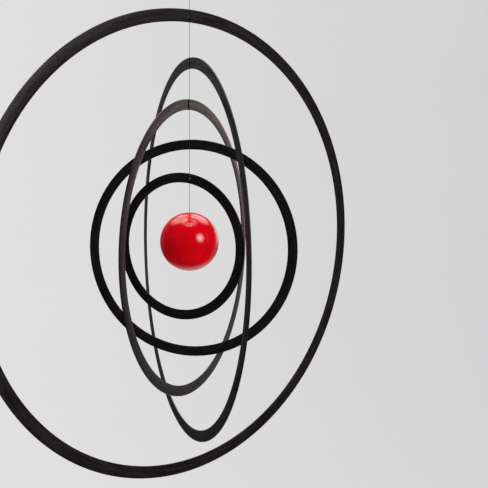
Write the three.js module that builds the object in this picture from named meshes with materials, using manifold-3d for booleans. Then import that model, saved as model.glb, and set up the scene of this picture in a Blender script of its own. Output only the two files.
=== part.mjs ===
// Hanging mobile: five flat rings, one inside another, each turned its own way about one upright
// thread, and a ball on the thread's end at their middle.
//
// Millimetres, +Z up. The origin is the inside of the hanging loop's top, where a hook carries it.
// Seen along +Y, a ring's front is the face that looks towards -Y before the ring is turned.
import * as THREE from 'three';
import { mergeVertices } from 'three/addons/utils/BufferGeometryUtils.js';
import Module from 'manifold-3d';

const wasm = await Module();
wasm.setup();

// Rings. The heights are over the outer ring's centre.
const SHEET = 1.1; // thickness of the sheet that the rings are cut from
const DROP = 258; // from the origin down to the outer ring's centre
const RINGS = [
  // radius: outer radius; face: width of the flat face; turn: degrees about the thread;
  // lean: degrees that the top comes forward; shift: the centre's place beside the thread
  { name: 'outer_ring', radius: 225, face: 11.9, turn: 37.9, lean: 2, shift: 1.1, height: 0 },
  { name: 'second_ring', radius: 182.6, face: 10.6, turn: -74.1, lean: 0, shift: -8.1, height: -1.9 },
  { name: 'third_ring', radius: 141.6, face: 10, turn: 65.1, lean: 0, shift: 5, height: 0.1 },
  { name: 'fourth_ring', radius: 103.5, face: 9.3, turn: -17.1, lean: -1.1, shift: 2, height: 0.2 },
  { name: 'inner_ring', radius: 71, face: 9.4, turn: -32.9, lean: 0.6, shift: -11, height: 1.4 },
];
const RING_SEGMENTS = 128;

// Each ring is laced to the thread at its top: a shallow groove for the thread runs down across
// the front face, over a small hole at half the face's width.
const GROOVE_WIDTH = 1.4;
const GROOVE_DEPTH = 0.55;
const HOLE_RADIUS = 0.8;
const HOLE_SEGMENTS = 12;

// Ball
const BALL_RADIUS = 28.2;
const BALL_HEIGHT = 6.8; // its centre over the outer ring's centre
const PIT_RADIUS = 0.8; // the hole in its top that the thread goes into
const PIT_DEPTH = 4;

// Thread and hanging loop
const THREAD_RADIUS = 0.2;
const THREAD_SIDES = 8;
const THREAD_STEPS = 80;
const THREAD_IN_PIT = 2.5; // how far the thread reaches into the ball
const GAP = 0.3; // between the thread and the knot above it
const LOOP_RADIUS = 2.2; // to the middle of the thread, across the loop
const LOOP_STRETCH = 2; // the loop is this many times as tall as it is wide
const LOOP_STEPS = 28;
const KNOT_RADIUS = 0.75;
const KNOT_STRETCH = 1.5;

// How far the cutting tools run past what they cut.
const OVERRUN = 2;

const RING_BLACK = new THREE.Color(0x2a2426);
const RING_ROUGHNESS = 0.6;
const BALL_RED = new THREE.Color(0xc00014);
const BALL_ROUGHNESS = 0.12;
const THREAD_BLACK = new THREE.Color(0x17171a);
const THREAD_ROUGHNESS = 0.5;

// A manifold solid of a closed geometry, and back again.
function toSolid(geometry) {
  const bare = geometry.clone();
  bare.deleteAttribute('normal');
  bare.deleteAttribute('uv');
  const merged = mergeVertices(bare, 1e-5);
  return new wasm.Manifold(
    new wasm.Mesh({
      numProp: 3,
      vertProperties: new Float32Array(merged.attributes.position.array),
      triVerts: new Uint32Array(merged.index.array),
    }),
  );
}

function toGeometry(solid) {
  const { vertProperties, triVerts } = solid.getMesh();
  const geometry = new THREE.BufferGeometry();
  geometry.setAttribute('position', new THREE.BufferAttribute(vertProperties, 3));
  geometry.setIndex(new THREE.BufferAttribute(triVerts, 1));
  geometry.computeVertexNormals();
  return geometry;
}

function makeMesh(name, geometry, color, roughness) {
  const material = new THREE.MeshStandardMaterial({ color, roughness, metalness: 0 });
  const mesh = new THREE.Mesh(geometry, material);
  mesh.name = name;
  return mesh;
}

function circle(Outline, radius, centreX = 0) {
  return new Outline().absarc(centreX, 0, radius, 0, 2 * Math.PI, false);
}

// A ring stands in the XZ plane of its own frame, whose Z axis is the thread. Its front face is
// at y = 0, so that the thread lies half sunk in the groove.
function ringGeometry({ radius, face, lean, shift }) {
  const outline = circle(THREE.Shape, radius, shift);
  outline.holes.push(circle(THREE.Path, radius - face, shift));
  const flat = new THREE.ExtrudeGeometry(outline, {
    depth: SHEET,
    bevelEnabled: false,
    curveSegments: RING_SEGMENTS / 2, // a full circle is given twice this many
  });
  flat.rotateX(Math.PI / 2).translate(0, SHEET, 0);

  // The hole is on the thread, so the ring leans about it.
  const middle = radius - face / 2;
  const holeHeight = Math.sqrt(middle ** 2 - shift ** 2);
  flat.translate(0, 0, -holeHeight);
  flat.rotateX(THREE.MathUtils.degToRad(lean));
  flat.translate(0, 0, holeHeight);

  const grooveBack = GROOVE_DEPTH + OVERRUN;
  const groove = new THREE.BoxGeometry(GROOVE_WIDTH, grooveBack, face + 2 * OVERRUN);
  groove.translate(0, GROOVE_DEPTH - grooveBack / 2, holeHeight);
  const hole = new THREE.CylinderGeometry(
    HOLE_RADIUS, HOLE_RADIUS, SHEET + 2 * OVERRUN, HOLE_SEGMENTS,
  );
  hole.translate(0, SHEET / 2, holeHeight);
  return toGeometry(toSolid(flat).subtract(toSolid(groove)).subtract(toSolid(hole)));
}

function makeRing(ring) {
  const mesh = makeMesh(ring.name, ringGeometry(ring), RING_BLACK, RING_ROUGHNESS);
  mesh.position.z = ring.height - DROP;
  mesh.rotation.z = THREE.MathUtils.degToRad(ring.turn);
  return mesh;
}

function makeBall() {
  const ball = new THREE.SphereGeometry(BALL_RADIUS, 44, 22).rotateX(Math.PI / 2);
  const pit = new THREE.CylinderGeometry(
    PIT_RADIUS, PIT_RADIUS, PIT_DEPTH + OVERRUN, HOLE_SEGMENTS,
  ).rotateX(Math.PI / 2);
  pit.translate(0, 0, BALL_RADIUS - PIT_DEPTH + (PIT_DEPTH + OVERRUN) / 2);
  const drilled = toGeometry(toSolid(ball).subtract(toSolid(pit)));
  const mesh = makeMesh('ball', drilled, BALL_RED, BALL_ROUGHNESS);
  mesh.position.z = BALL_HEIGHT - DROP;
  return mesh;
}

// The loop hangs below the origin, with the knot that closes it underneath.
const loopHalfHeight = LOOP_RADIUS * LOOP_STRETCH;
const loopCentre = THREAD_RADIUS - loopHalfHeight;
const knotCentre = loopCentre - loopHalfHeight - KNOT_RADIUS * KNOT_STRETCH / 2;
const knotBottom = knotCentre - KNOT_RADIUS * KNOT_STRETCH;

function makeLoop() {
  const loop = new THREE.TorusGeometry(LOOP_RADIUS, THREAD_RADIUS, THREAD_SIDES, LOOP_STEPS);
  const unstretched = loop.attributes.position;
  // Only the loop's middle line is stretched, so the thread stays round.
  for (let i = 0; i < unstretched.count; i += 1) {
    const x = unstretched.getX(i);
    const y = unstretched.getY(i);
    const middleY = (LOOP_RADIUS * y) / Math.hypot(x, y);
    unstretched.setY(i, y + middleY * (LOOP_STRETCH - 1));
  }
  loop.rotateX(Math.PI / 2).translate(0, 0, loopCentre);
  const knot = new THREE.SphereGeometry(KNOT_RADIUS, 12, 8).rotateX(Math.PI / 2);
  knot.scale(1, 1, KNOT_STRETCH).translate(0, 0, knotCentre);
  const tied = toGeometry(toSolid(loop).add(toSolid(knot)));
  return makeMesh('hanging_loop', tied, THREAD_BLACK, THREAD_ROUGHNESS);
}

// The thread runs straight down from the knot into the ball.
function makeThread() {
  const top = new THREE.Vector3(0, 0, knotBottom - GAP);
  const bottom = new THREE.Vector3(0, 0, BALL_HEIGHT + BALL_RADIUS - THREAD_IN_PIT - DROP);
  const section = new THREE.Shape();
  for (let side = 0; side < THREAD_SIDES; side += 1) {
    const angle = (2 * Math.PI * side) / THREAD_SIDES;
    const corner = [THREAD_RADIUS * Math.cos(angle), THREAD_RADIUS * Math.sin(angle)];
    if (side === 0) section.moveTo(...corner);
    else section.lineTo(...corner);
  }
  const tube = new THREE.ExtrudeGeometry(section, {
    steps: THREAD_STEPS,
    extrudePath: new THREE.LineCurve3(top, bottom),
  });
  return makeMesh('thread', tube, THREAD_BLACK, THREAD_ROUGHNESS);
}

const mobile = new THREE.Group();
mobile.add(makeLoop(), makeThread(), ...RINGS.map(makeRing), makeBall());

export default mobile;
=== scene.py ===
import logging
import math
from dataclasses import dataclass, field
from enum import Enum

import bmesh
import bpy
from bpy.types import Material, Node, NodeTree, Object
from bpy.types import NodeSocket as Socket
from mathutils import Matrix, Vector


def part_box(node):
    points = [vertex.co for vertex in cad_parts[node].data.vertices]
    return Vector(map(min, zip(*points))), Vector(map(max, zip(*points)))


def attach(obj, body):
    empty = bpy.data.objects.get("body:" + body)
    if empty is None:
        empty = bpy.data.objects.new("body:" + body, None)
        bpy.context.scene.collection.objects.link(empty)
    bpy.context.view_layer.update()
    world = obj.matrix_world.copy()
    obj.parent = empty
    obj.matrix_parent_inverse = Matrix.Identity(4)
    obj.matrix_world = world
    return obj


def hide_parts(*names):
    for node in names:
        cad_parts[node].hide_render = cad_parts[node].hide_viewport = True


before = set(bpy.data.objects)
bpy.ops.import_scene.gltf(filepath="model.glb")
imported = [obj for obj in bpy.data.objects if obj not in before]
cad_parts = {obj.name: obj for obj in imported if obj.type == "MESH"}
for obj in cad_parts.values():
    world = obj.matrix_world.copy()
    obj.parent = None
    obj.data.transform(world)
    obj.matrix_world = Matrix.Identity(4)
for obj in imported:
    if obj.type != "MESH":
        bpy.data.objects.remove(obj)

log = logging.getLogger("mobile")

Pair = tuple[float, float]
Triple = tuple[float, float, float]

MM = 0.001

# The thread carries everything, so its body is the one that stays still.
LINE_BODY = "line"

# Most of a noise's values lie between these two.
NOISE_BODY = (0.3, 0.7)

# Corners sharper than this, in degrees, stay sharp on the sheet and on the turned pieces.
SHEET_CORNER = 35.0
TURNED_CORNER = 50.0

# Sizes shared by several pieces, in millimetres.
SHEET = 1.1
GROOVE_WIDTH = 1.4
GROOVE_DEPTH = 0.55
LACE_HOLE_RADIUS = 0.8
THREAD_RADIUS = 0.2

# The sides of a strand of thread, and how far its ends bulge, as a share of its radius.
TUBE_SIDES = 10
TUBE_END = 0.6


class Slot(Enum):
    """The names of the material slots."""

    RING = "ring_sheet"
    BALL = "ball_lacquer"
    THREAD = "thread"


class Lacing(Enum):
    """How a ring is held: its lacing hole open, or filled with glue, or filled and with a dark bead
    of painted shade.
    """

    OPEN = "open"
    SEALED = "sealed"
    BEADED = "beaded"


def ring_centre_height() -> float:
    """The height of the outer ring's centre in the frame, in metres."""
    low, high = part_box("outer_ring")
    return (low.z + high.z) / 2


class NodeBoard:
    """A node tree, with short calls that add nodes and join them."""

    def __init__(self, tree: NodeTree) -> None:
        """Start by emptying a material's or world's node tree."""
        self.tree = tree
        self.tree.nodes.clear()

    def add(self, kind: str, **values: object) -> Node:
        """Add a node.

        Args:
            kind: the node's Blender type.
            **values: a socket's value, or a setting of the node, by its name.

        Returns:
            The node.
        """
        node = self.tree.nodes.new(kind)
        for name, value in values.items():
            socket = next((s for s in node.inputs if s.identifier == name or s.name == name), None)
            if socket is None:
                setattr(node, name, value)
            else:
                socket.default_value = value
        return node

    def join(self, source: Socket, target: Socket) -> None:
        """Link one socket to another."""
        self.tree.links.new(source, target)

    def axis(self, vector: Socket, name: str) -> Socket:
        """One axis of a vector.

        Args:
            vector: the vector's socket.
            name: X, Y or Z.

        Returns:
            The value along that axis.
        """
        node = self.add("ShaderNodeSeparateXYZ")
        self.join(vector, node.inputs["Vector"])
        return node.outputs[name]

    def along(self, vector: Socket, way: Vector) -> Socket:
        """The dot product of a vector and a fixed direction.

        Args:
            vector: the vector's socket.
            way: the direction.

        Returns:
            The value.
        """
        node = self.add("ShaderNodeVectorMath", operation="DOT_PRODUCT")
        self.join(vector, node.inputs[0])
        node.inputs[1].default_value = way
        return node.outputs["Value"]

    def span(self, value: Socket, source: Pair, target: Pair, easing: str = "LINEAR") -> Socket:
        """Carry a value from one range to another, clamped.

        Args:
            value: the value's socket.
            source: the range that it comes from.
            target: the range that it goes to.
            easing: the Map Range node's interpolation.

        Returns:
            The new value.
        """
        node = self.add("ShaderNodeMapRange", interpolation_type=easing)
        for name, number in zip(("From Min", "From Max", "To Min", "To Max"), source + target):
            node.inputs[name].default_value = number
        self.join(value, node.inputs["Value"])
        return node.outputs["Result"]

    def blend(self, share: Socket, first: "Socket | Triple", second: "Socket | Triple") -> Socket:
        """Mix two colours.

        Args:
            share: how much of the second.
            first: a colour or its socket.
            second: a colour or its socket.

        Returns:
            The mixed colour.
        """
        node = self.add("ShaderNodeMix", data_type="RGBA")
        self.join(share, node.inputs["Factor"])
        colours = [s for s in node.inputs if s.type == "RGBA"]
        for socket, colour in zip(colours, (first, second)):
            if isinstance(colour, Socket):
                self.join(colour, socket)
            else:
                socket.default_value = (*colour, 1.0)
        return next(s for s in node.outputs if s.type == "RGBA")

    def combine(self, operation: str, first: Socket, second: "Socket | float" = 0.0) -> Socket:
        """Do arithmetic on one value or two.

        Args:
            operation: the Math node's operation.
            first: the first value's socket.
            second: the second value, or its socket, where the operation takes two.

        Returns:
            The result.
        """
        node = self.add("ShaderNodeMath", operation=operation)
        self.join(first, node.inputs[0])
        if isinstance(second, Socket):
            self.join(second, node.inputs[1])
        else:
            node.inputs[1].default_value = second
        return node.outputs["Value"]


class FinishBoard(NodeBoard):
    """The nodes of one material, with its shader and its piece's own coordinates."""

    def __init__(self, name: str, centre: float = 0.0, turn: float = 0.0) -> None:
        """Start a material with a shader on its output.

        Args:
            name: the material's name.
            centre: the height of the piece's own middle in the frame, in metres.
            turn: how far the piece's own frame is turned about the Z axis, in degrees.
        """
        self.material = bpy.data.materials.new(name)
        self.material.use_nodes = True
        super().__init__(self.material.node_tree)
        output = self.add("ShaderNodeOutputMaterial")
        self.shader = self.add("ShaderNodeBsdfPrincipled")
        self.join(self.shader.outputs["BSDF"], output.inputs["Surface"])
        self.source = self.add("ShaderNodeTexCoord")
        place = self.add(
            "ShaderNodeMapping",
            vector_type="TEXTURE",
            Location=(0, 0, centre),
            Rotation=(0, 0, math.radians(turn)),
            Scale=(MM, MM, MM),
        )
        self.join(self.source.outputs["Object"], place.inputs["Vector"])
        self.place = place.outputs["Vector"]

    def fix(self, **values: object) -> None:
        """Set plain values on the shader's own sockets, by their names with _ for a space."""
        for name, value in values.items():
            self.shader.inputs[name.replace("_", " ")].default_value = value

    def drive(self, name: str, value: Socket) -> None:
        """Link a value to one of the shader's sockets, by its name."""
        self.join(value, self.shader.inputs[name])

    def stretched(self, scale: Triple) -> Socket:
        """The piece's own coordinates in millimetres, each axis scaled.

        Args:
            scale: the scale along X, Y and Z.

        Returns:
            The scaled coordinates.
        """
        mapping = self.add("ShaderNodeMapping", Scale=scale)
        self.join(self.place, mapping.inputs["Vector"])
        return mapping.outputs["Vector"]

    def noise(self, scale: Triple, detail: float) -> Socket:
        """Noise in the piece's own coordinates.

        Args:
            scale: cycles in a millimetre along X, Y and Z.
            detail: the noise's octaves.

        Returns:
            The noise, from 0 to 1.
        """
        made = self.add("ShaderNodeTexNoise", Scale=1.0, Detail=detail)
        self.join(self.stretched(scale), made.inputs["Vector"])
        return made.outputs["Fac"]

    def bump(self, height: Socket, depth: float, strength: float) -> None:
        """Raise the surface by a height.

        Args:
            height: the height, from 0 to 1.
            depth: how deep a height of 1 is, in millimetres.
            strength: the bump's strength.
        """
        node = self.add("ShaderNodeBump", Strength=strength, Distance=depth * MM)
        self.join(height, node.inputs["Height"])
        self.drive("Normal", node.outputs["Normal"])


@dataclass(frozen=True)
class StainedSheet:
    """Thin sheet stained black: a grain that runs round the ring, and browner cut edges.

    The grain's scales are in cycles a millimetre, across the ring's face and then along it.
    """

    name: str
    stain: Triple
    spread: float = 0.55
    purple: Triple = (1.12, 0.92, 1.12)
    grey: Triple = (0.98, 1.01, 0.99)
    edge: Triple = (0.0110, 0.0080, 0.0072)
    # sunk is the near-black of the painted shade in the band along the thread's groove.
    sunk: Triple = (0.0012, 0.0011, 0.0012)
    streak: Pair = (0.42, 0.03)
    fibre: Pair = (1.6, 0.10)
    cloud: Triple = (0.05, 0.05, 0.03)
    speckle: Triple = (3.1, 3.1, 3.1)
    grain_body: Pair = (0.60, 1.00)
    roughness: Pair = (0.27, 0.52)
    matt: float = 0.95
    fibre_in_gloss: float = 0.6
    fibre_in_relief: float = 0.7
    speckle_in_relief: float = 0.4

    def material(self, ring: "Ring") -> Material:
        """Make the finish of one ring.

        Args:
            ring: the ring that it is for.

        Returns:
            The material.
        """
        board = FinishBoard(f"{self.name} of the {ring.node}", ring.centre, ring.turn)
        board.fix(Specular_IOR_Level=0.42, IOR=1.47)
        streak = self.round_grain(board, ring, self.streak, 4.0)
        fibre = self.round_grain(board, ring, self.fibre, 3.0)
        lace = self.in_painted_shade(board, ring)
        tone = self.tone(board, streak, fibre)
        colour = board.blend(tone, self.tinted(self.purple, -1), self.tinted(self.grey, 1))
        colour = board.blend(self.on_edge(board, ring.facing), colour, self.edge)
        # Painted shade: the band along the thread's groove goes near-black.
        colour = board.blend(lace, colour, self.sunk)
        board.drive("Base Color", colour)
        rough = board.combine("ADD", streak, board.combine("MULTIPLY", fibre, self.fibre_in_gloss))
        rough = board.span(rough, self.grain_body, self.roughness)
        matt = board.combine("MULTIPLY", lace, self.matt)
        board.drive("Roughness", board.combine("MAXIMUM", rough, matt))
        fibre = board.combine("MULTIPLY", fibre, self.fibre_in_relief)
        speckle = board.noise(self.speckle, 2.0)
        speckle = board.combine("MULTIPLY", speckle, self.speckle_in_relief)
        grain = board.combine("ADD", board.combine("ADD", streak, fibre), speckle)
        board.bump(grain, depth=0.16, strength=0.5)
        return board.material

    def tinted(self, tint: Triple, way: int) -> Triple:
        """The stain with a tint, at its dark end where way is -1 and its light end where it's 1."""
        return tuple(c * t * (1 + way * self.spread) for c, t in zip(self.stain, tint))

    def tone(self, board: FinishBoard, streak: Socket, fibre: Socket) -> Socket:
        """How light the stain is from place to place.

        Args:
            board: the material's nodes.
            streak: the coarse grain.
            fibre: the fine grain.

        Returns:
            The share of the light end, from 0 to about 1.
        """
        middle = (0.35, 0.65)
        total = board.span(streak, middle, (0.0, 0.5))
        total = board.combine("ADD", total, board.span(fibre, NOISE_BODY, (0.0, 0.3)))
        cloud = board.noise(self.cloud, 3.0)
        return board.combine("ADD", total, board.span(cloud, middle, (0.0, 0.3)))

    @staticmethod
    def round_grain(board: FinishBoard, ring: "Ring", scale: Pair, detail: float) -> Socket:
        """Grain that runs round the ring, fine across its face and long along it.

        Args:
            board: the material's nodes.
            ring: the ring that it is for.
            scale: cycles in a millimetre across the face, and along it.
            detail: the noise's octaves.

        Returns:
            The noise, from 0 to 1.
        """
        from_centre = board.add("ShaderNodeVectorMath", operation="SUBTRACT")
        board.join(board.place, from_centre.inputs[0])
        from_centre.inputs[1].default_value = (ring.shift, 0, 0)
        length = board.add("ShaderNodeVectorMath", operation="LENGTH")
        board.join(from_centre.outputs["Vector"], length.inputs[0])
        across, along = scale
        joined = board.add("ShaderNodeCombineXYZ")
        for value, factor, axis in (
            (length.outputs["Value"], across, "X"),
            (board.axis(board.place, "X"), along, "Y"),
            (board.axis(board.place, "Z"), along, "Z"),
        ):
            board.join(board.combine("MULTIPLY", value, factor), joined.inputs[axis])
        made = board.add("ShaderNodeTexNoise", Scale=1.0, Detail=detail)
        board.join(joined.outputs["Vector"], made.inputs["Vector"])
        return made.outputs["Fac"]

    @staticmethod
    def on_edge(board: FinishBoard, facing: Vector) -> Socket:
        """How far a place is on a cut edge: 0 on the face, and 1 where it's square to it."""
        flat = board.combine("ABSOLUTE", board.along(board.source.outputs["Normal"], facing))
        return board.span(flat, (0.4, 0.85), (1.0, 0.0))

    def in_painted_shade(self, board: FinishBoard, ring: "Ring") -> Socket:
        """How far a place lies in the band of painted shade along the thread's groove.

        Args:
            board: the material's nodes.
            ring: the ring that it is for.

        Returns:
            The share, from 0 to 1.
        """
        # The band's soft sides, and its end just inside the ring's opening.
        start, end = ring.mark
        off_middle = board.combine("SUBTRACT", board.axis(board.place, "X"), (start + end) / 2)
        aside = board.combine("ABSOLUTE", off_middle)
        half = (end - start) / 2
        soft, fade = 0.15 * half, 0.1 * ring.face
        near = board.span(aside, (half - soft, half + soft), (1.0, 0.0))
        low = ring.lace_height / MM - ring.face
        height = board.axis(board.place, "Z")
        high = board.span(height, (low, low + fade), (0.0, 1.0))
        return board.combine("MULTIPLY", near, high)


@dataclass(frozen=True)
class RedLacquer:
    """Thick glossy red lacquer, polished over a turned ball."""

    name: str = "red lacquer"
    deep: Triple = (0.60, 0.0002, 0.0050)
    bright: Triple = (0.66, 0.0004, 0.0066)
    cloud: Triple = (0.06, 0.06, 0.09)
    smear: Triple = (0.35, 0.35, 0.35)
    ripple: Triple = (0.30, 0.30, 0.30)
    roughness: Pair = (0.22, 0.34)

    def material(self) -> Material:
        """Make the lacquer.

        Returns:
            The material.
        """
        board = FinishBoard(self.name)
        board.fix(Specular_IOR_Level=0.0, Coat_Weight=1.0, Coat_Roughness=0.06, Coat_IOR=1.52)
        cloud = board.noise(self.cloud, 3.0)
        share = board.span(cloud, NOISE_BODY, (0.0, 1.0))
        board.drive("Base Color", board.blend(share, self.deep, self.bright))
        smear = board.noise(self.smear, 4.0)
        board.drive("Roughness", board.span(smear, NOISE_BODY, self.roughness))
        board.bump(board.noise(self.ripple, 2.0), depth=0.02, strength=0.25)
        return board.material


@dataclass(frozen=True)
class BlackThread:
    """Fine twisted black thread with a slight shine."""

    name: str = "black thread"
    dark: Triple = (0.006, 0.006, 0.007)
    light: Triple = (0.022, 0.021, 0.022)
    turns_per_mm: float = 1.6
    fuzz: Triple = (4.0, 4.0, 4.0)
    roughness: Pair = (0.32, 0.5)

    def material(self) -> Material:
        """Make the thread's finish.

        Returns:
            The material.
        """
        board = FinishBoard(self.name)
        board.fix(Specular_IOR_Level=0.5)
        wave = board.add("ShaderNodeTexWave", bands_direction="Z", Scale=1.0, Distortion=1.2)
        board.join(board.stretched((1.2, 1.2, self.turns_per_mm)), wave.inputs["Vector"])
        twist = wave.outputs["Fac"]
        board.drive("Base Color", board.blend(twist, self.dark, self.light))
        fuzz = board.noise(self.fuzz, 2.0)
        board.drive("Roughness", board.span(fuzz, NOISE_BODY, self.roughness))
        board.bump(twist, depth=0.05, strength=0.5)
        return board.material


@dataclass(frozen=True)
class PalePaint:
    """Matt pale paint that glows almost evenly, with painted shade that falls off a little to one
    side.
    """

    name: str = "pale studio paint"
    bright: float = 0.757
    dim: float = 0.630
    reach: float = 1.3
    tint: float = 0.02

    def material(self) -> Material:
        """Make the paint.

        Returns:
            The material.
        """
        board = FinishBoard(self.name)
        board.fix(Roughness=0.9, Specular_IOR_Level=0.1, Emission_Strength=1.0)
        board.fix(Base_Color=(self.tint, self.tint, self.tint, 1.0))
        across = board.axis(board.source.outputs["Object"], "X")
        side = board.span(across, (-self.reach, self.reach), (0.0, 1.0))
        cloud = board.span(board.noise((0.002, 0.002, 0.002), 2.0), NOISE_BODY, (-0.03, 0.03))
        share = board.combine("ADD", side, cloud)
        # Painted shade: the glow dims towards +X.
        board.drive("Emission Color", board.blend(share, (self.bright,) * 3, (self.dim,) * 3))
        return board.material


def new_piece(name: str, points: list[Vector], faces: list[tuple[int, ...]]) -> Object:
    """Make a mesh object and put it in the scene.

    Args:
        name: the object's name.
        points: its vertices, in metres.
        faces: its faces, as lists of vertex numbers.

    Returns:
        The object.
    """
    mesh = bpy.data.meshes.new(name)
    mesh.from_pydata(points, [], faces)
    mesh.validate()
    made = bpy.data.objects.new(name, mesh)
    bpy.context.scene.collection.objects.link(made)
    return made


def round_edges_shown(piece: Object, angle: float) -> None:
    """Shade a piece smooth, but keep corners sharper than an angle in degrees."""
    piece.data.shade_smooth()
    piece.data.set_sharp_from_angle(angle=math.radians(angle))


def face_outwards(piece: Object) -> None:
    """Turn every face of a closed mesh outwards.

    Args:
        piece: the mesh object.
    """
    work = bmesh.new()
    work.from_mesh(piece.data)
    bmesh.ops.recalc_face_normals(work, faces=work.faces)
    work.to_mesh(piece.data)
    work.free()


def band(here: int, there: int, count: int) -> list[tuple[int, ...]]:
    """The faces between two closed rows of so many vertices, from each row's first vertex."""
    nexts = [(k + 1) % count for k in range(count)]
    return [(here + k, here + n, there + n, there + k) for k, n in enumerate(nexts)]


def revolve(name: str, profile: list[Pair], steps: int) -> Object:
    """Turn a profile about the Z axis.

    Args:
        name: the object's name.
        profile: radius and height of each point; the first and last are on the axis.
        steps: how many places round the axis.

    Returns:
        The object.
    """
    inner = profile[1:-1]
    points = [Vector((0, 0, profile[0][1]))]
    for step in range(steps):
        angle = 2 * math.pi * step / steps
        points += [Vector((r * math.cos(angle), r * math.sin(angle), z)) for r, z in inner]
    points.append(Vector((0, 0, profile[-1][1])))
    last, count, faces = len(points) - 1, len(inner), []
    for step in range(steps):
        here, there = 1 + step * count, 1 + (step + 1) % steps * count
        faces.append((0, there, here))
        faces += [(here + k, there + k, there + k + 1, here + k + 1) for k in range(count - 1)]
        faces.append((here + count - 1, there + count - 1, last))
    made = new_piece(name, points, faces)
    face_outwards(made)
    return made


def tube(name: str, route: list[Vector], radius: float, closed: bool = False) -> Object:
    """Make a round tube along a route, with rounded ends.

    Args:
        name: the object's name.
        route: the points that its middle follows, in metres.
        radius: its radius in metres.
        closed: whether the route's end joins its start.

    Returns:
        The object.
    """
    count, sides = len(route), TUBE_SIDES
    ahead = [route[(k + 1) % count] if closed or k + 1 < count else route[k] for k in range(count)]
    behind = [route[k - 1] if closed or k else route[k] for k in range(count)]
    along = [(a - b).normalized() for a, b in zip(ahead, behind)]
    side = along[0].orthogonal().normalized()
    points: list[Vector] = []
    for k, middle in enumerate(route):
        side = (side - along[k] * side.dot(along[k])).normalized()
        other = along[k].cross(side)
        for s in range(sides):
            angle = 2 * math.pi * s / sides
            points.append(middle + (side * math.cos(angle) + other * math.sin(angle)) * radius)
    faces = [face for k in range(count - 1) for face in band(k * sides, (k + 1) * sides, sides)]
    final = (count - 1) * sides
    if closed:
        # The last row meets the first at the corner that is nearest to it.
        skip = min(range(sides), key=lambda s: (points[s] - points[final]).length)
        for s in range(sides):
            n = (s + 1) % sides
            faces.append((final + s, final + n, (n + skip) % sides, (s + skip) % sides))
    else:
        points += [
            route[0] - along[0] * radius * TUBE_END,
            route[-1] + along[-1] * radius * TUBE_END,
        ]
        start, end = len(points) - 2, len(points) - 1
        for s in range(sides):
            faces.append((start, (s + 1) % sides, s))
            faces.append((end, final + s, final + (s + 1) % sides))
    made = new_piece(name, points, faces)
    face_outwards(made)
    made.data.shade_smooth()
    return made


def cut(piece: Object, tool: Object) -> None:
    """Cut one mesh from another, and throw the tool away.

    Args:
        piece: the mesh that is cut.
        tool: the mesh that cuts it.
    """
    modifier = piece.modifiers.new("cut", "BOOLEAN")
    modifier.operation = "DIFFERENCE"
    modifier.solver = "EXACT"
    modifier.object = tool
    graph = bpy.context.evaluated_depsgraph_get()
    done = bpy.data.meshes.new_from_object(piece.evaluated_get(graph))
    piece.modifiers.clear()
    piece.data = done
    bpy.data.objects.remove(tool)


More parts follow.
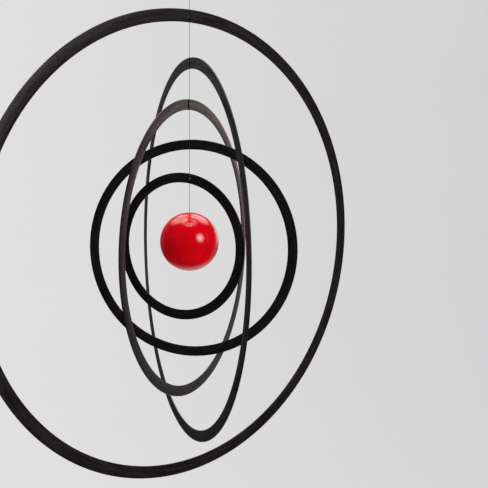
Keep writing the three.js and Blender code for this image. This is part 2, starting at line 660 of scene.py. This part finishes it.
@dataclass
class Ring:
    """One flat ring, cut from thin sheet, with the groove and hole that lace it to the thread.

    Sizes are in millimetres and angles in degrees. The ring's own frame has the thread as its Z
    axis and the front of its face at y = 0; turning it about the thread comes last. Its height is
    its centre's, over the outer ring's centre. The shade band is its face's painted shade, along X.
    """

    node: str
    radius: float
    face: float
    turn: float
    lean: float
    shift: float
    height: float
    finish: StainedSheet
    lacing: Lacing = Lacing.SEALED
    mark: Pair = (-1.0, 1.0)
    steps: int = 640
    corner: float = 0.14
    corner_steps: int = 4
    groove_corner: float = 0.2
    groove_steps: int = 8

    @property
    def centre(self) -> float:
        """The height of the ring's centre in the frame, in metres."""
        return ring_centre_height() + self.height * MM

    @property
    def facing(self) -> Vector:
        """The way that the ring's front faces."""
        return Matrix.Rotation(math.radians(self.turn), 3, "Z") @ Vector((0, -1, 0))

    @property
    def lace_height(self) -> float:
        """The height of the lacing hole over the ring's centre, in metres."""
        middle = self.radius - self.face / 2
        return math.sqrt(middle**2 - self.shift**2) * MM

    @property
    def placing(self) -> Matrix:
        """What carries the ring's own frame to its place."""
        turned = Matrix.Rotation(math.radians(self.turn), 4, "Z")
        return Matrix.Translation((0, 0, self.centre)) @ turned

    @property
    def lace_placing(self) -> Matrix:
        """The same, for a thing made about the lacing hole."""
        return self.placing @ Matrix.Translation((0, 0, self.lace_height))

    def section(self) -> list[Pair]:
        """The ring's cross-section, with its corners rounded.

        Returns:
            Radius and depth behind the front face of each point, in metres.
        """
        inner, outer, round_by = self.radius - self.face, self.radius, self.corner
        corners = (
            (outer - round_by, round_by, -90),
            (outer - round_by, SHEET - round_by, 0),
            (inner + round_by, SHEET - round_by, 90),
            (inner + round_by, round_by, 180),
        )
        points = []
        for centre_r, centre_y, start in corners:
            for step in range(self.corner_steps + 1):
                angle = math.radians(start + 90 * step / self.corner_steps)
                r = centre_r + round_by * math.cos(angle)
                y = centre_y + round_by * math.sin(angle)
                points.append((r * MM, y * MM))
        return points

    def blank(self) -> Object:
        """The ring before it is cut, in its own frame, leaning about its lacing.

        Returns:
            The ring's mesh object.
        """
        section = self.section()
        count = len(section)
        lean = Matrix.Rotation(math.radians(self.lean), 4, "X")
        lace = Vector((0, 0, self.lace_height))
        points, faces = [], []
        for step in range(self.steps):
            angle = 2 * math.pi * step / self.steps
            for r, y in section:
                place = Vector((self.shift * MM + r * math.sin(angle), y, r * math.cos(angle)))
                points.append(lean @ (place - lace) + lace)
            faces += band(step * count, (step + 1) % self.steps * count, count)
        made = new_piece(self.node + "_sheet", points, faces)
        face_outwards(made)
        return made

    def groove_tool(self) -> Object:
        """The block that cuts the thread's groove down the front face.

        Returns:
            The tool's mesh object.
        """
        half, depth = GROOVE_WIDTH / 2 * MM, GROOVE_DEPTH * MM
        reach, front = self.face * MM, -2 * MM
        low, high = self.lace_height - reach, self.lace_height + reach
        # The groove's floor is hollow, as a round file leaves it.
        rim = self.groove_corner * MM
        outline = [(-half, front), (-half, depth - rim)]
        for step in range(1, self.groove_steps):
            angle = math.pi * step / self.groove_steps
            outline.append((-half * math.cos(angle), depth - rim + rim * math.sin(angle)))
        outline += [(half, depth - rim), (half, front)]
        count = len(outline)
        points = [Vector((x, y, z)) for z in (low, high) for x, y in outline]
        faces = [tuple(range(count)), tuple(range(count, 2 * count)), *band(0, count, count)]
        made = new_piece("groove_tool", points, faces)
        face_outwards(made)
        return made

    def hole_tool(self) -> Object:
        """The pin that cuts the lacing hole through the sheet.

        Returns:
            The tool's mesh object.
        """
        radius, reach = LACE_HOLE_RADIUS * MM, 3 * MM
        pin = [(0, -reach), (radius, -reach), (radius, reach), (0, reach)]
        made = revolve("hole_tool", pin, 32)
        made.data.transform(Matrix.Rotation(math.pi / 2, 4, "X"))
        made.data.transform(Matrix.Translation((0, SHEET / 2 * MM, self.lace_height)))
        face_outwards(made)
        return made

    def build(self) -> Object:
        """Make the ring, dress it and hang it in its place.

        Returns:
            The finished piece.
        """
        piece = self.blank()
        cut(piece, self.groove_tool())
        cut(piece, self.hole_tool())
        round_edges_shown(piece, SHEET_CORNER)
        piece.data.materials.clear()
        piece.data.materials.append(self.finish.material(self))
        piece.data.transform(self.placing)
        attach(piece, self.node)
        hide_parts(self.node)
        return piece


@dataclass
class Ball:
    """The lacquered ball, with the small hole in its top that the thread goes into."""

    node: str = "ball"
    hole_radius: float = 0.8
    hole_depth: float = 4.0
    rim: float = 0.25
    finish: RedLacquer = field(default_factory=RedLacquer)
    steps: int = 192
    rows: int = 110
    rim_rows: int = 5

    def profile(self, radius: float) -> list[Pair]:
        """The ball's outline from its bottom to the floor of its hole.

        Args:
            radius: the ball's radius in metres.

        Returns:
            Radius and height of each point, in metres.
        """
        hole, rim = self.hole_radius * MM, self.rim * MM
        top_angle = math.pi / 2 - (hole + rim) / radius
        points = [(0.0, -radius)]
        for row in range(1, self.rows + 1):
            angle = -math.pi / 2 + (top_angle + math.pi / 2) * row / self.rows
            points.append((radius * math.cos(angle), radius * math.sin(angle)))
        top = points[-1][1]
        for step in range(1, self.rim_rows + 1):
            angle = math.pi / 2 * step / self.rim_rows
            points.append((hole + rim - rim * math.sin(angle), top - rim + rim * math.cos(angle)))
        points.append((hole, radius - self.hole_depth * MM))
        points.append((0.0, radius - self.hole_depth * MM))
        return points

    def build(self) -> Object:
        """Make the ball, dress it and hang it in its place.

        Returns:
            The finished piece.
        """
        low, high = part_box(self.node)
        radius = (high.x - low.x) / 2
        piece = revolve("lacquered_ball", self.profile(radius), self.steps)
        round_edges_shown(piece, TURNED_CORNER)
        piece.data.materials.append(self.finish.material())
        piece.matrix_world = Matrix.Translation((0, 0, low.z + radius))
        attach(piece, LINE_BODY)
        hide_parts(self.node)
        return piece


@dataclass(frozen=True)
class BlackGlue:
    """Black glue, dried to a dull, slightly lumpy skin."""

    name: str = "black glue"
    dark: Triple = (0.0012, 0.0011, 0.0012)
    light: Triple = (0.0040, 0.0036, 0.0038)
    lump: Triple = (2.2, 2.2, 2.2)
    roughness: Pair = (0.5, 0.8)

    def material(self) -> Material:
        """Make the glue's finish.

        Returns:
            The material.
        """
        board = FinishBoard(self.name)
        board.fix(Specular_IOR_Level=0.06)
        lumps = board.noise(self.lump, 3.0)
        share = board.span(lumps, NOISE_BODY, (0.0, 1.0))
        board.drive("Base Color", board.blend(share, self.dark, self.light))
        board.drive("Roughness", board.span(lumps, NOISE_BODY, self.roughness))
        board.bump(lumps, depth=0.06, strength=0.5)
        return board.material


@dataclass
class GlueDab:
    """The dab of glue that fills a ring's lacing hole behind the thread, in millimetres."""

    ring: Ring
    radius: float = 0.86
    head: float = 1.1
    front: float = 0.32
    hollow: float = 0.1
    bulge: float = 0.3

    def profile(self) -> list[Pair]:
        """Half of the dab's outline, from the middle of its front to the middle of its back.

        Returns:
            Radius and depth behind the ring's front face of each point, in metres.
        """
        front = [
            (self.radius * math.sin(a), self.front + self.hollow * (1 - math.cos(a)))
            for a in (math.pi / 2 * k / 4 for k in range(5))
        ]
        back = [
            (self.head * math.cos(a), SHEET + self.bulge * math.sin(a))
            for a in (math.pi / 2 * k / 6 for k in range(7))
        ]
        points = [*front, (self.radius, SHEET - 0.02), *back]
        points[0], points[-1] = (0.0, points[0][1]), (0.0, points[-1][1])
        return [(r * MM, y * MM) for r, y in points]

    def build(self, finish: Material) -> Object:
        """Make the dab.

        Args:
            finish: the glue's material.

        Returns:
            The finished piece.
        """
        dab = revolve(self.ring.node + "_glue_dab", self.profile(), 32)
        dab.data.transform(self.ring.lace_placing @ Matrix.Rotation(-math.pi / 2, 4, "X"))
        round_edges_shown(dab, TURNED_CORNER)
        dab.data.materials.append(finish)
        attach(dab, self.ring.node)
        return dab


@dataclass
class PaintedShadeBead:
    """A low dark bead of painted shade down a ring's face beside the thread, in millimetres."""

    ring: Ring
    inset: float = 0.35
    thick: float = 0.16
    sunk: float = 0.1
    waves: tuple[Triple, ...] = ((0.12, 9, 0), (0.08, 23, 1))
    columns: int = 12
    rows: int = 30

    def build(self, finish: Material) -> Object:
        """Make the bead: domed across, a little wavy down its sides, and closed behind.

        Args:
            finish: the glue's material.

        Returns:
            The finished piece.
        """
        start, end = self.ring.mark
        middle, half = (start + end) / 2, (end - start) / 2
        top = self.ring.lace_height / MM + self.ring.face / 2 - self.inset
        bottom = top - self.ring.face + 2 * self.inset
        points: list[Vector] = []
        for row in range(self.rows + 1):
            share = row / self.rows
            z = bottom + (top - bottom) * share
            wave = 1 + sum(size * math.sin(often * share + k) for size, often, k in self.waves)
            for step in range(2 * self.columns):
                angle = math.pi * step / self.columns
                depth = self.thick if step < self.columns else self.sunk
                x = middle + half * wave * math.cos(angle)
                points.append(Vector((x, -depth * math.sin(angle) * wave, z)) * MM)
        count = 2 * self.columns
        faces = [tuple(range(count)), tuple(range(self.rows * count, (self.rows + 1) * count))]
        for row in range(self.rows):
            faces += band(row * count, (row + 1) * count, count)
        bead = new_piece(self.ring.node + "_painted_shade_bead", points, faces)
        face_outwards(bead)
        bead.data.transform(self.ring.placing)
        round_edges_shown(bead, TURNED_CORNER)
        # The bead takes the black glue's finish, but its dark strip is painted shade.
        bead.data.materials.append(finish)
        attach(bead, self.ring.node)
        return bead


@dataclass
class LacingKnot:
    """The small overhand knot that holds a ring on the thread, in millimetres."""

    ring: Ring
    radius: float = 0.18
    size: float = 0.18
    depth: float = 1.4
    steps: int = 72

    def strand(self) -> list[Vector]:
        """The knot's route, an overhand knot drawn tight round the thread.

        Returns:
            The points, in metres, about the knot's middle.
        """
        route = []
        for step in range(self.steps):
            t = 2 * math.pi * step / self.steps
            x = math.sin(t) + 2 * math.sin(2 * t)
            y = math.cos(t) - 2 * math.cos(2 * t)
            route.append(Vector((x, y, -math.sin(3 * t) * self.depth)) * self.size * MM)
        return route

    def build(self, finish: Material) -> Object:
        """Make the knot.

        Args:
            finish: the thread's material.

        Returns:
            The finished piece.
        """
        knot = tube(self.ring.node + "_knot", self.strand(), self.radius * MM, closed=True)
        knot.matrix_world = self.ring.lace_placing
        knot.data.materials.append(finish)
        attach(knot, LINE_BODY)
        return knot


@dataclass
class Thread:
    """The one thread: a straight length from the hanging knot down into the ball."""

    node: str = "thread"
    points: int = 24
    finish: BlackThread = field(default_factory=BlackThread)

    def route(self) -> list[Vector]:
        """The thread's middle line, from its top down.

        Returns:
            The points, in metres.
        """
        low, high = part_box(self.node)
        last = self.points - 1
        return [Vector((0, 0, high.z + (low.z - high.z) * k / last)) for k in range(self.points)]

    def build(self, material: Material) -> Object:
        """Make the thread as one open curve.

        Args:
            material: the thread's material.

        Returns:
            The finished piece.
        """
        line = bpy.data.curves.new("thread_strand", "CURVE")
        line.dimensions = "3D"
        line.bevel_depth = THREAD_RADIUS * MM
        line.bevel_resolution = 4
        line.use_fill_caps = True
        spline = line.splines.new("POLY")
        route = self.route()
        spline.points.add(len(route) - 1)
        for point, place in zip(spline.points, route):
            point.co = (*place, 1.0)
        piece = bpy.data.objects.new("thread_strand", line)
        bpy.context.scene.collection.objects.link(piece)
        line.materials.append(material)
        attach(piece, LINE_BODY)
        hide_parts(self.node)
        return piece


@dataclass
class HangingLoop:
    """The thread's top end: a small loop, wrapped and drawn tight into a knot, in millimetres."""

    node: str = "hanging_loop"
    loop_radius: float = 2.2
    loop_stretch: float = 2.0
    wraps: float = 3.0
    wrap_radius: float = 0.42
    swell: float = 0.25
    pinch: float = 0.42
    loop_steps: int = 96
    wrap_steps: int = 90

    def loop_route(self, centre: float) -> list[Vector]:
        """The loop's middle line: round at its top and drawn together at the knot.

        Args:
            centre: the height of the loop's middle, in metres.

        Returns:
            The points, in metres.
        """
        route = []
        for step in range(self.loop_steps):
            angle = 2 * math.pi * step / self.loop_steps
            pinch = 1 - self.pinch * (0.5 - 0.5 * math.sin(angle)) ** 2
            x = self.loop_radius * math.cos(angle) * pinch
            z = self.loop_radius * self.loop_stretch * math.sin(angle)
            route.append(Vector((x * MM, 0, centre + z * MM)))
        return route

    def knot_route(self, bottom: float, top: float) -> list[Vector]:
        """The wraps of the knot under the loop.

        Args:
            bottom: the height of the knot's lower end, in metres.
            top: the height of its upper end, in metres.

        Returns:
            The points, in metres.
        """
        route = []
        for step in range(self.wrap_steps + 1):
            share = step / self.wrap_steps
            angle = 2 * math.pi * self.wraps * share
            swell = 1 - self.swell + self.swell * math.sin(math.pi * share)
            r = self.wrap_radius * swell * MM
            z = bottom + (top - bottom) * share
            route.append(Vector((r * math.cos(angle), r * math.sin(angle), z)))
        return route

    def build(self, material: Material) -> list[Object]:
        """Make the loop and its knot.

        Args:
            material: the thread's material.

        Returns:
            The two finished pieces.
        """
        low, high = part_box(self.node)
        thick = THREAD_RADIUS * MM
        half = self.loop_radius * self.loop_stretch * MM
        centre = high.z - thick - half
        loop = tube("loop_strand", self.loop_route(centre), thick, closed=True)
        top = centre - half + thick
        knot = tube("loop_knot", self.knot_route(low.z + thick, top), thick)
        waist = (thick * 1.4, (low.z + top) / 2)
        core_outline = [(0, low.z), (thick, low.z + thick), waist, (thick, top), (0, top)]
        core = revolve("loop_knot_core", core_outline, 16)
        core.data.shade_smooth()
        for piece in (loop, knot, core):
            piece.data.materials.append(material)
            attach(piece, LINE_BODY)
            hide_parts(self.node)
        return [loop, knot, core]


@dataclass
class Viewpoint:
    """The camera: in front of the thread, over the rings' centre, looking right and down a little.

    Lengths are in metres, angles in degrees, and the lens and sensor in millimetres.
    """

    distance: float = 0.8993
    above_centre: float = 0.0806
    aside: float = 3.329
    down: float = 4.839
    roll: float = -0.281
    lens: float = 69.43
    sensor: float = 36.0
    clip: Pair = (0.05, 30.0)

    def build(self) -> Object:
        """Make the camera and make it the scene's own.

        Returns:
            The camera.
        """
        data = bpy.data.cameras.new("viewpoint")
        data.lens, data.sensor_width = self.lens, self.sensor
        data.clip_start, data.clip_end = self.clip
        camera = bpy.data.objects.new("viewpoint", data)
        bpy.context.scene.collection.objects.link(camera)
        aim = (
            Matrix.Rotation(math.radians(-self.aside), 4, "Z")
            @ Matrix.Rotation(math.radians(-self.down), 4, "X")
            @ Matrix.Rotation(math.radians(self.roll), 4, "Y")
            @ Matrix.Rotation(math.pi / 2, 4, "X")
        )
        place = (0, -self.distance, ring_centre_height() + self.above_centre)
        camera.matrix_world = Matrix.Translation(place) @ aim
        bpy.context.scene.camera = camera
        return camera


class Seen(Enum):
    """Whether a lamp shows in glossy surfaces."""

    MIRRORED = True
    HIDDEN = False


@dataclass(frozen=True)
class Lamp:
    """One soft lamp that points at the mobile's middle: wide along X, and deep across it."""

    name: str
    towards: Triple
    distance: float
    wide: float
    deep: float
    radiance: float
    seen: Seen = Seen.MIRRORED

    def build(self, middle: Vector) -> Object:
        """Make the lamp.

        Args:
            middle: the point that it shines at.

        Returns:
            The lamp.
        """
        data = bpy.data.lights.new(self.name, "AREA")
        data.shape, data.size, data.size_y = "RECTANGLE", self.wide, self.deep
        data.energy = math.pi * self.radiance * self.wide * self.deep
        lamp = bpy.data.objects.new(self.name, data)
        bpy.context.scene.collection.objects.link(lamp)
        way = Vector(self.towards).normalized()
        across = Vector((1, 0, 0))
        across = (across - way * across.dot(way)).normalized()
        aim = Matrix((across, way.cross(across), way)).transposed().to_4x4()
        lamp.matrix_world = Matrix.Translation(middle + way * self.distance) @ aim
        lamp.visible_camera = False
        lamp.visible_glossy = self.seen.value
        return lamp


@dataclass(frozen=True)
class Glow:
    """One soft bright patch of the studio's surroundings, with its angles in degrees."""

    towards: Triple
    full_within: float
    gone_beyond: float
    radiance: float
    colour: Triple = (1.0, 1.0, 1.0)
    beam: bool = False


@dataclass
class Surroundings:
    """What the lacquer and the sheet reflect: a dim room with a few soft bright patches."""

    base: float = 0.035
    beam_width: Pair = (0.03, 0.13)
    beam_light: float = 0.1
    glows: tuple[Glow, ...] = (
        # The key light: its soft edge, and its bright middle.
        Glow((0.662, -0.690, 0.288), 1.0, 21.0, 5.6, (1.0, 0.90, 0.94)),
        Glow((0.662, -0.690, 0.288), 1.0, 12.0, 5.2, (1.0, 0.90, 0.94)),
        # Panes overhead, parted by a dark beam.
        Glow((-0.28, 0.42, 0.86), 13.0, 31.0, 3.4, beam=True),
        Glow((0.30, 0.49, 0.82), 12.0, 29.0, 3.4, beam=True),
        Glow((0.00, -0.03, 1.00), 16.0, 27.0, 1.9, beam=True),
        # Warm light from behind, on the right.
        Glow((0.50, 0.86, 0.10), 5.0, 17.0, 1.3, (1.0, 0.80, 0.78)),
        Glow((0.70, 0.71, 0.05), 5.0, 16.0, 0.80, (1.0, 0.76, 0.74)),
        Glow((0.70, 0.66, -0.26), 8.0, 26.0, 0.22),
        # Light from the wall behind, and from the floor.
        Glow((0.00, 1.00, -0.08), 10.0, 24.0, 0.7),
        Glow((0.00, 0.85, 0.53), 20.0, 46.0, 0.25),
        Glow((0.06, 0.70, -0.71), 8.0, 36.0, 0.8),
        Glow((-0.60, 0.80, 0.24), 10.0, 40.0, 0.10),
    )

    def build(self) -> None:
        """Make the world that lights the studio."""
        world = bpy.data.worlds.new("surroundings")
        world.use_nodes = True
        bpy.context.scene.world = world
        board = NodeBoard(world.node_tree)
        output = board.add("ShaderNodeOutputWorld")
        light = board.add("ShaderNodeBackground")
        board.join(light.outputs["Background"], output.inputs["Surface"])
        way = board.add("ShaderNodeTexCoord").outputs["Generated"]
        aside = board.combine("ABSOLUTE", board.axis(way, "X"))
        past_beam = board.span(aside, self.beam_width, (self.beam_light, 1.0))
        total: Socket | None = None
        for glow in self.glows:
            share = self.patch(board, way, glow)
            if glow.beam:
                share = board.combine("MULTIPLY", share, past_beam)
            sum_up = board.add("ShaderNodeVectorMath", operation="MULTIPLY_ADD")
            sum_up.inputs[0].default_value = glow.colour
            board.join(share, sum_up.inputs[1])
            if total is None:
                sum_up.inputs[2].default_value = (self.base,) * 3
            else:
                board.join(total, sum_up.inputs[2])
            total = sum_up.outputs["Vector"]
        board.join(total, light.inputs["Color"])

    @staticmethod
    def patch(board: NodeBoard, way: Socket, glow: Glow) -> Socket:
        """The light of one patch.

        Args:
            board: the world's nodes.
            way: the direction looked at.
            glow: the patch.

        Returns:
            How bright it is that way.
        """
        near = board.along(way, Vector(glow.towards).normalized())
        edge = math.cos(math.radians(glow.gone_beyond))
        core = math.cos(math.radians(glow.full_within))
        return board.span(near, (edge, core), (0.0, glow.radiance), "SMOOTHSTEP")


@dataclass
class Studio:
    """A plain pale room: a floor that curves up into walls and a domed ceiling, and soft lamps."""

    floor_drop: float = 1.25
    wall_radius: float = 2.9
    cove: float = 0.9
    dome_rise: float = 1.4
    wall_height: float = 2.2
    floor_rows: int = 6
    bend_rows: int = 12
    surroundings: Surroundings = field(default_factory=Surroundings)
    lamps: tuple[Lamp, ...] = (
        Lamp("strip", (0.02, -0.292, 0.956), 1.7, 0.50, 0.55, 2.4),
        Lamp("fill_right", (0.80, -0.50, -0.20), 2.2, 1.9, 1.9, 1.95, Seen.HIDDEN),
        Lamp("fill_left", (-0.75, -0.50, 0.20), 2.2, 1.9, 1.9, 1.76, Seen.HIDDEN),
        Lamp("fill_top", (0.00, -0.30, 0.95), 1.8, 1.56, 1.56, 0.9, Seen.HIDDEN),
        Lamp("fill_low", (0.08, -0.10, -1.0), 1.6, 1.64, 1.64, 1.45, Seen.HIDDEN),
        Lamp("fill_back", (-0.20, 0.95, 0.25), 2.4, 1.6, 1.6, 0.9, Seen.HIDDEN),
    )

    def profile(self) -> list[Pair]:
        """The room's outline, from the middle of the floor to the middle of the ceiling.

        Returns:
            Radius and height of each point, in metres.
        """
        floor, wall, bend = ring_centre_height() - self.floor_drop, self.wall_radius, self.cove
        points = [(0.0, floor)]
        flat, rows = self.floor_rows, self.bend_rows
        points += [((wall - bend) * k / flat, floor) for k in range(1, flat)]
        for step in range(rows + 1):
            angle = math.pi / 2 * step / rows
            x = wall - bend + bend * math.sin(angle)
            points.append((x, floor + bend - bend * math.cos(angle)))
        dome = floor + self.wall_height
        for step in range(rows):
            angle = math.pi / 2 * step / rows
            points.append((wall * math.cos(angle), dome + self.dome_rise * math.sin(angle)))
        points.append((0.0, dome + self.dome_rise))
        return points

    def build(self) -> None:
        """Make the room, what it reflects and its lamps."""
        room = revolve("room", self.profile(), 96)
        room.data.flip_normals()
        room.data.shade_smooth()
        room.data.materials.append(PalePaint().material())
        # The room is only a backdrop: the light comes from the surroundings and the lamps.
        room.visible_diffuse = room.visible_glossy = room.visible_shadow = False
        self.surroundings.build()
        middle = Vector((0, 0, ring_centre_height()))
        for lamp in self.lamps:
            lamp.build(middle)


# The outer and third rings get lighter stains than the rest, purple and brown: partly painted
# light, for the purple-tinted key reflection on the outer ring and the warm light on the third
# ring's face.
PLUM_BLACK = StainedSheet("plum-black sheet", stain=(0.0068, 0.0042, 0.0064))
SOOT_BLACK = StainedSheet("soot-black sheet", stain=(0.0052, 0.0041, 0.0052))
BROWN_BLACK = StainedSheet("brown-black sheet", stain=(0.0074, 0.0056, 0.0054))

RINGS = (
    Ring("outer_ring", 225, 11.9, 37.9, 2, 1.1, 0, PLUM_BLACK, Lacing.OPEN),
    Ring("second_ring", 182.6, 10.6, -74.1, 0, -8.1, -1.9, SOOT_BLACK),
    Ring("third_ring", 141.6, 10, 65.1, 0, 5, 0.1, BROWN_BLACK, Lacing.BEADED, (-3.7, -1.1)),
    Ring("fourth_ring", 103.5, 9.3, -17.1, -1.1, 2, 0.2, SOOT_BLACK),
    Ring("inner_ring", 71, 9.4, -32.9, 0.6, -11, 1.4, SOOT_BLACK, Lacing.OPEN),
)


def corners(box: tuple[Vector, Vector]) -> list[list[float]]:
    """A box's two corners as plain lists."""
    return [list(corner) for corner in box]


def main() -> None:
    """Build the camera, the thread and its knots, the rings, the ball and the studio."""
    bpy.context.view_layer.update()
    Viewpoint().build()
    log.info("camera in place")
    thread = Thread()
    black = thread.finish.material()
    strand = thread.build(black)
    fittings = HangingLoop().build(black)
    log.info("thread and hanging loop done")
    glue = BlackGlue().material()
    for ring in RINGS:
        ring.build()
        if ring.lacing is not Lacing.OPEN:
            GlueDab(ring).build(glue)
        # A beaded ring also gets a dark bead of painted shade beside the thread.
        if ring.lacing is Lacing.BEADED:
            PaintedShadeBead(ring).build(glue)
        fittings.append(LacingKnot(ring).build(black))
        log.info("%s done", ring.node)
    Ball().build()
    log.info("ball done")
    Studio().build()
    bpy.context.scene.view_settings.view_transform = "Standard"
    log.info("studio done")


if __name__ == "__main__":
    logging.basicConfig(level=logging.INFO, format="%(message)s")
    main()
